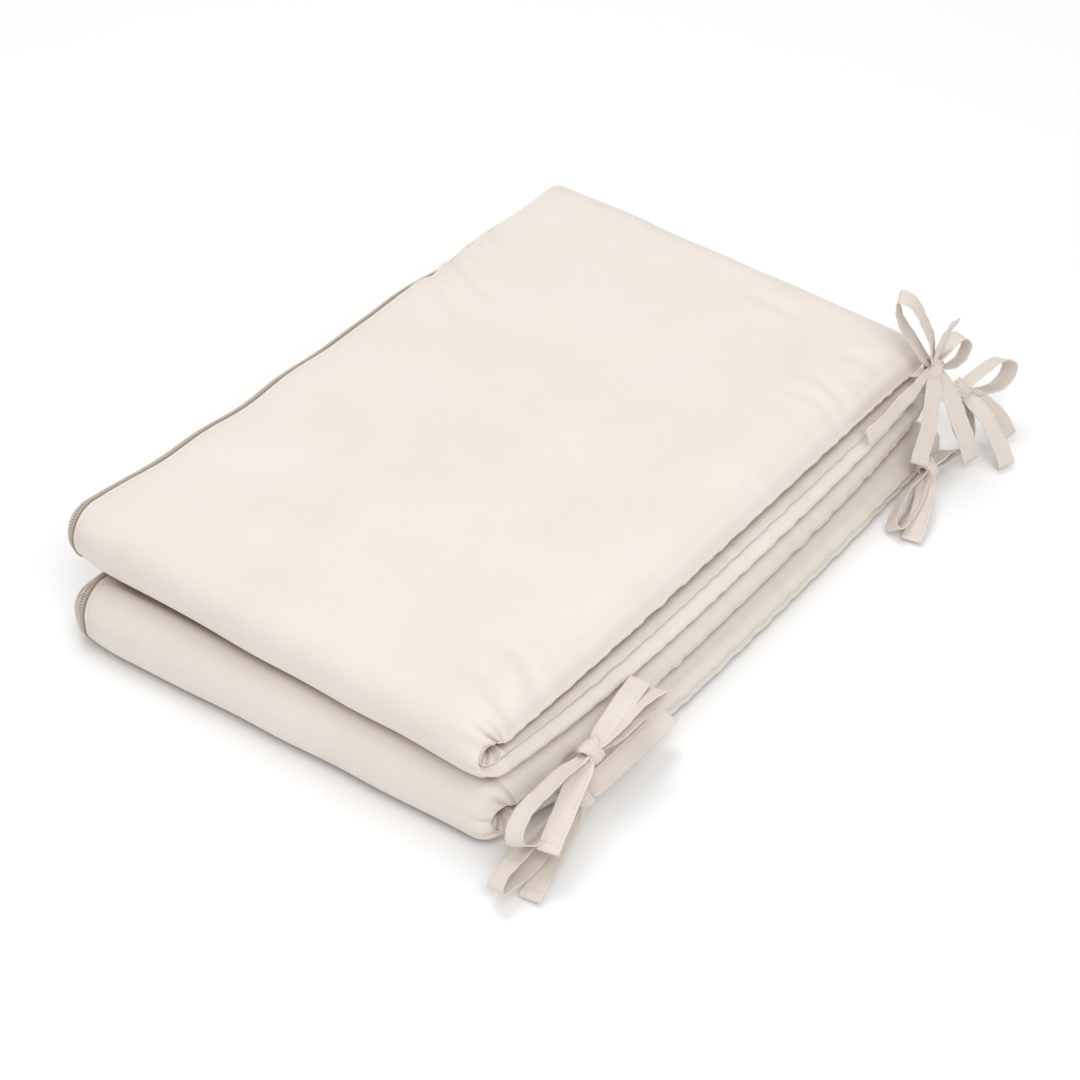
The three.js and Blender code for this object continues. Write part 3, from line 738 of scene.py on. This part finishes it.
def ribbon(controls, wide, steps, knots, hemmed, twist):
    centre = bezier(controls, np.linspace(0, 1, steps + 1))
    along = lengthAlong(centre)
    forward = unit(np.gradient(centre, axis=0))
    across = unit(wide - forward * (forward @ wide)[:, None])
    face = np.cross(forward, across)
    total = along[-1]
    apart = np.full_like(along, np.inf)
    if "start" in knots:
        apart = np.minimum(apart, along)
    if "end" in knots:
        apart = np.minimum(apart, total - along)
    gather = hump(apart, 0, tape["pinchReach"])
    free = 1 - hump(apart, 0, tape["freeReach"])
    turn = np.radians(twist) * np.sin(math.pi * along / total) * free
    across, face = (
        across * np.cos(turn)[:, None] + face * np.sin(turn)[:, None],
        face * np.cos(turn)[:, None] - across * np.sin(turn)[:, None],
    )
    wander = tape["wander"] * free * np.sin(2 * math.pi * along / tape["wanderLong"] + twist)
    centre = centre + face * wander[:, None]
    v = np.sin(np.linspace(-math.pi / 2, math.pi / 2, tape["columns"]))
    width = tape["width"] / 2 * (1 - tape["pinch"] * gather)
    lift = tape["curl"] * (v[None] ** 2 - tape["curlMiddle"]) * (1 - gather)[:, None]
    lift = lift + tape["pleat"] * gather[:, None] * np.cos(tape["pleats"] * math.pi * v)[None]
    edgeWave = tape["edgeRipple"] * np.sin(2 * math.pi * along / tape["edgeLong"] + twist)
    lift = lift + edgeWave[:, None] * (np.abs(v) ** 3)[None] * free[:, None]
    half = tape["thick"] / 2 * (1 - tape["edgeThin"] * np.abs(v) ** 6)[None] + 0 * along[:, None]
    half = half - tape["stitchGroove"] * hump(v, tape["stitchPlace"], tape["grooveWidth"])[None]
    if hemmed:
        hemStart = total - tape["hemLong"]
        inHem = np.clip((along - hemStart) / tape["hemStep"], 0, 1)
        groove = tape["hemGroove"] * hump(along, hemStart, tape["hemGrooveWidth"])
        tip = np.clip((total - along) / tape["hemStep"], tape["tipThin"], 1)
        half = (half + tape["hemThick"] / 2 * inHem[:, None] - groove[:, None]) * tip[:, None]
    surface = centre[:, None] + across[:, None] * (width[:, None] * v[None])[..., None]
    top = surface + face[:, None] * (lift + half)[..., None]
    low = surface + face[:, None] * (lift - half)[..., None]
    ring = np.concatenate([top, low[:, ::-1]], axis=1)
    ring[..., 2] = np.maximum(ring[..., 2], tape["floorLift"])
    over = np.concatenate([v, v[::-1], v[:1]]) * tape["width"] / 2
    uv = np.stack(np.meshgrid(along, over, indexing="ij"), axis=-1)
    column = int(np.argmin(np.abs(v - tape["stitchPlace"])))
    lines = [(top[:, column], face), (low[:, column], -face)]
    if hemmed:
        row = int(np.argmin(np.abs(along - (hemStart + tape["hemStitch"]))))
        lines.append((top[row, 1:-1], np.repeat(face[row:row + 1], tape["columns"] - 2, axis=0)))
    return gridPart(ring, uv, turned=True), lines, total


def knotParts(centre, axis, face):
    side = np.cross(axis, face)
    theta = np.linspace(0, 2 * math.pi, knotShape["steps"], endpoint=False)
    v = np.linspace(-1, 1, knotShape["columns"])
    cosine, sine = np.cos(theta)[:, None], np.sin(theta)[:, None]
    radial = face * cosine + side * sine
    narrow = 1 - knotShape["narrow"] * cosine**2
    half = knotShape["halfThick"]
    parts = []
    for wrap in knotShape["wraps"]:
        path = centre + face * wrap["high"] * cosine + side * wrap["wide"] * sine + axis * wrap["lean"] * sine
        wave = knotShape["pleats"] * math.pi * v[None] + knotShape["pleatDrift"] * sine + wrap["phase"]
        bulge = knotShape["bulge"] * (1 - v[None] ** 2) + knotShape["pleat"] * np.cos(wave)
        middle = path[:, None] + (narrow * v[None] * wrap["band"] / 2)[..., None] * axis
        top = middle + radial[:, None] * (bulge + half)[..., None]
        low = middle + radial[:, None] * (bulge - half)[..., None]
        ring = np.concatenate([top, low[:, ::-1]], axis=1)
        ring[..., 2] = np.maximum(ring[..., 2], tape["floorLift"])
        over = np.concatenate([v, v[::-1], v[:1]]) * wrap["band"] / 2
        around = np.append(theta, 2 * math.pi) * knotShape["girthRadius"]
        uv = np.stack(np.meshgrid(around, over, indexing="ij"), axis=-1)
        parts.append(gridPart(ring, uv, capped=False, ringed=True, turned=True))
    return parts


def direction(vector):
    return unit(np.array(vector, float))


def seamPoint(layer, y):
    row = straightRows(layer, np.array([y]))
    return placePoints(row, row["tieX"][:, None], seamHeight(row))[0, 0]


def bowParts(bow, number):
    knot = np.array(bow["knot"], float)
    ribbons = []
    for place, piece in enumerate(bow["strips"]):
        # each length of tape has its own slight twist
        twist = ((number * 5 + place * 3) % 7 - 3) * tape["twistStep"]
        if "out" in piece:
            out, back = np.array(piece["out"], float), np.array(piece["back"], float)
            route, wide = [knot, knot + out, knot + back, knot], unit(np.cross(out, back))
            ribbons.append(ribbon(route, wide, tape["loopSteps"], ("start", "end"), False, twist))
        else:
            route = [knot, knot + np.array(piece["via"], float), knot + np.array(piece["end"], float)]
            ribbons.append(ribbon(route, direction(piece["wide"]), tape["tailSteps"], ("start",), True, twist))
    parts = [made[0] for made in ribbons]
    lines = [line for made in ribbons for line in made[1]]
    near, far = (seamPoint(bow["layer"], bow["seamY"] + shift * tape["width"] / 2) for shift in (-1, 1))
    seam, run = (near + far) / 2, unit(far - near)
    outward = unit(np.array([1.0, 0, 0]) - run * run[0])
    route = [seam - outward * tape["rootSink"], seam + outward * tape["width"] / 2, knot]
    root = ribbon(route, run, tape["rootSteps"], ("end",), False, 0)
    loops = [direction(piece["out"]) + direction(piece["back"]) for piece in bow["strips"] if "out" in piece]
    axis = unit(unit(loops[0]) - unit(loops[1]))
    toward = direction(knotShape["toward"])
    face = unit(toward - axis * (axis @ toward))
    inKnot = 2 * math.pi * knotShape["turnRadius"] * len(knotShape["wraps"])
    total = sum(made[2] for made in ribbons) + root[2] + inKnot
    return parts + [root[0]] + knotParts(knot, axis, face), lines, total


tieStitchParts = []
for number, bow in enumerate(bows):
    parts, lines, total = bowParts(bow, number)
    tie = makePiece(bow["name"] + "_tape", parts, tieCotton)
    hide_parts(bow["name"])
    for line, normals in lines:
        tieStitchParts += stitchParts(line, normals, tape, sides=4)
    print("stage:", tie.name, round(total), "mm of tape")
makePiece("tie_stitches", tieStitchParts, threadCotton)


# floor, light and camera
studio = {
    "floorSize": 6.0, "floorDrop": -0.0004, "floorTone": (0.92, 0.92, 0.92, 1), "floorRough": 0.9,
    "floorGloss": 0.1, "sky": 0.57, "lampAim": (0, 0, 0.05),
}
corners = [(a * studio["floorSize"], b * studio["floorSize"]) for a, b in ((-1, -1), (1, -1), (1, 1), (-1, 1))]
floorMesh = bpy.data.meshes.new("floor")
floorMesh.from_pydata([(x, y, studio["floorDrop"]) for x, y in corners], [], [(0, 1, 2, 3)])
floor = bpy.data.objects.new("floor", floorMesh)
bpy.context.scene.collection.objects.link(floor)
floorMaterial = bpy.data.materials.new("floor_white")
floorMaterial.use_nodes = True
floorShader = floorMaterial.node_tree.nodes["Principled BSDF"]
floorShader.inputs["Base Color"].default_value = studio["floorTone"]
floorShader.inputs["Roughness"].default_value = studio["floorRough"]
floorShader.inputs["Specular IOR Level"].default_value = studio["floorGloss"]
floorMesh.materials.append(floorMaterial)

lamps = [
    {"name": "key", "place": (-0.6, 0.4, 2.1), "size": 1.2, "power": 17},
    {"name": "fill", "place": (1.15, -0.75, 1.9), "size": 1.5, "power": 19},
    {"name": "front", "place": (1.0, -2.0, 0.8), "size": 1.4, "power": 7},
]
for lamp in lamps:
    data = bpy.data.lights.new(lamp["name"], "AREA")
    data.shape = "DISK"
    data.size = lamp["size"]
    data.energy = lamp["power"]
    light = bpy.data.objects.new(lamp["name"], data)
    light.location = lamp["place"]
    light.rotation_mode = "QUATERNION"
    light.rotation_quaternion = (Vector(studio["lampAim"]) - light.location).to_track_quat("-Z", "Y")
    bpy.context.scene.collection.objects.link(light)
world = bpy.data.worlds.new("studio")
world.use_nodes = True
sky = world.node_tree.nodes["Background"]
sky.inputs["Color"].default_value = (1, 1, 1, 1)
sky.inputs["Strength"].default_value = studio["sky"]
bpy.context.scene.world = world
bpy.context.scene.view_settings.view_transform = "Standard"

shot = {  # the photo's view; the focal length is in pixels of the frame
    "azimuth": 37.04, "elevation": 40.24, "distance": 1443.7, "aim": (46.9, -42.0, 40.4),
    "focal": 2450, "frame": 1080, "sensor": 36.0,
}
azimuth, elevation = math.radians(shot["azimuth"]), math.radians(shot["elevation"])
level = math.cos(elevation)
backward = Vector((math.sin(azimuth) * level, -math.cos(azimuth) * level, math.sin(elevation)))
cameraData = bpy.data.cameras.new("camera")
cameraData.sensor_width = shot["sensor"]
cameraData.lens = shot["sensor"] * shot["focal"] / shot["frame"]
cameraData.clip_start, cameraData.clip_end = 0.05, 30
camera = bpy.data.objects.new("camera", cameraData)
camera.location = (Vector(shot["aim"]) + backward * shot["distance"]) * metre
camera.rotation_mode = "QUATERNION"
camera.rotation_quaternion = (-backward).to_track_quat("-Z", "Y")
bpy.context.scene.collection.objects.link(camera)
bpy.context.scene.camera = camera
print("stage: floor, light and camera")

bpy.context.view_layer.update()
